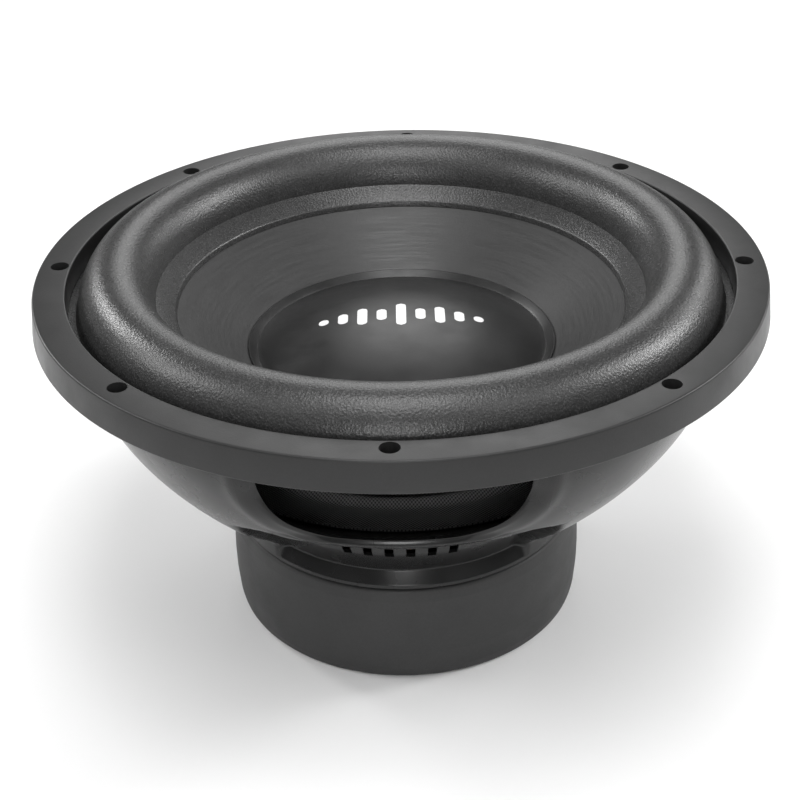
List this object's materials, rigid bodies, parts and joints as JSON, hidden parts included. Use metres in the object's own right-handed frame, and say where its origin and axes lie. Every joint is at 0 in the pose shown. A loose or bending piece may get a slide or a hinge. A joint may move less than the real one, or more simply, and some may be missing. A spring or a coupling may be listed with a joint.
{
  "type": "car subwoofer speaker",
  "caption": "Round car subwoofer driver: foam-surround cone in a rubber-ringed steel basket with open windows, over a magnet in a rubber boot, with sprung push terminals.",
  "frame": {"origin": "centre of the underside of the magnet boot, on the speaker axis", "axes": "+Z along the speaker axis out of the cone, -Y through the window and the flange hole that face the viewer"},
  "size_m": [0.3184, 0.3184, 0.1755],
  "materials": {
    "pressed_steel": "gloss",
    "ring_rubber": "satin",
    "boot_rubber": "matte",
    "foam": "matte",
    "cone_pulp": "satin",
    "cap_poly": "satin",
    "former_kapton": "satin",
    "copper": "enamelled copper wire",
    "spider_cloth": "matte",
    "zinc_steel": "satin",
    "ferrite": "matte",
    "black_plastic": "matte",
    "red_plastic": "gloss",
    "brass_tab": "satin",
    "braid": "woven tinsel"
  },
  "bodies": {
    "frame": {"basket": "pressed_steel", "trim_ring": "ring_rubber", "surround": "foam", "spider": "spider_cloth", "top_plate": "zinc_steel", "magnet_upper": "ferrite", "magnet_lower": "ferrite", "yoke": "zinc_steel", "magnet_boot": "boot_rubber", "vent_screen": "black_plastic", "rivet_1": "zinc_steel", "rivet_2": "zinc_steel", "rivet_3": "zinc_steel", "rivet_4": "zinc_steel", "rivet_5": "zinc_steel", "rivet_6": "zinc_steel", "terminal_block_a": "black_plastic", "terminal_screw_a1": "zinc_steel", "terminal_screw_a2": "zinc_steel", "lug_a_red": "brass_tab", "lead_a_red": "braid", "lug_a_black": "brass_tab", "lead_a_black": "braid", "terminal_block_b": "black_plastic", "terminal_screw_b1": "zinc_steel", "terminal_screw_b2": "zinc_steel", "lug_b_red": "brass_tab", "lead_b_red": "braid", "lug_b_black": "brass_tab", "lead_b_black": "braid"},
    "cone_assembly": {"cone": "cone_pulp", "dust_cap": "cap_poly", "coil_former": "former_kapton", "coil_winding_inner": "copper", "coil_winding_outer": "copper"},
    "button_a_red_body": {"button_a_red": "red_plastic"},
    "button_a_black_body": {"button_a_black": "black_plastic"},
    "button_b_red_body": {"button_b_red": "red_plastic"},
    "button_b_black_body": {"button_b_black": "black_plastic"}
  },
  "joints": [
    {"name": "cone_stroke", "type": "slide", "parent": "frame", "child": "cone_assembly", "axis": [0, 0, 1], "range_m": [-0.012, 0.012], "stiffness_N_per_m": 7000, "deforming": ["surround", "spider", "lead_a_red", "lead_a_black", "lead_b_red", "lead_b_black"]},
    {"name": "press_a_red", "type": "slide", "parent": "frame", "child": "button_a_red_body", "axis": [-0.2924, -0.9563, 0], "range_m": [0, 0.003], "stiffness_N_per_m": 300},
    {"name": "press_a_black", "type": "slide", "parent": "frame", "child": "button_a_black_body", "axis": [-0.2924, -0.9563, 0], "range_m": [0, 0.003], "stiffness_N_per_m": 300},
    {"name": "press_b_red", "type": "slide", "parent": "frame", "child": "button_b_red_body", "axis": [0.2924, -0.9563, 0], "range_m": [0, 0.003], "stiffness_N_per_m": 300},
    {"name": "press_b_black", "type": "slide", "parent": "frame", "child": "button_b_black_body", "axis": [0.2924, -0.9563, 0], "range_m": [0, 0.003], "stiffness_N_per_m": 300}
  ]
}
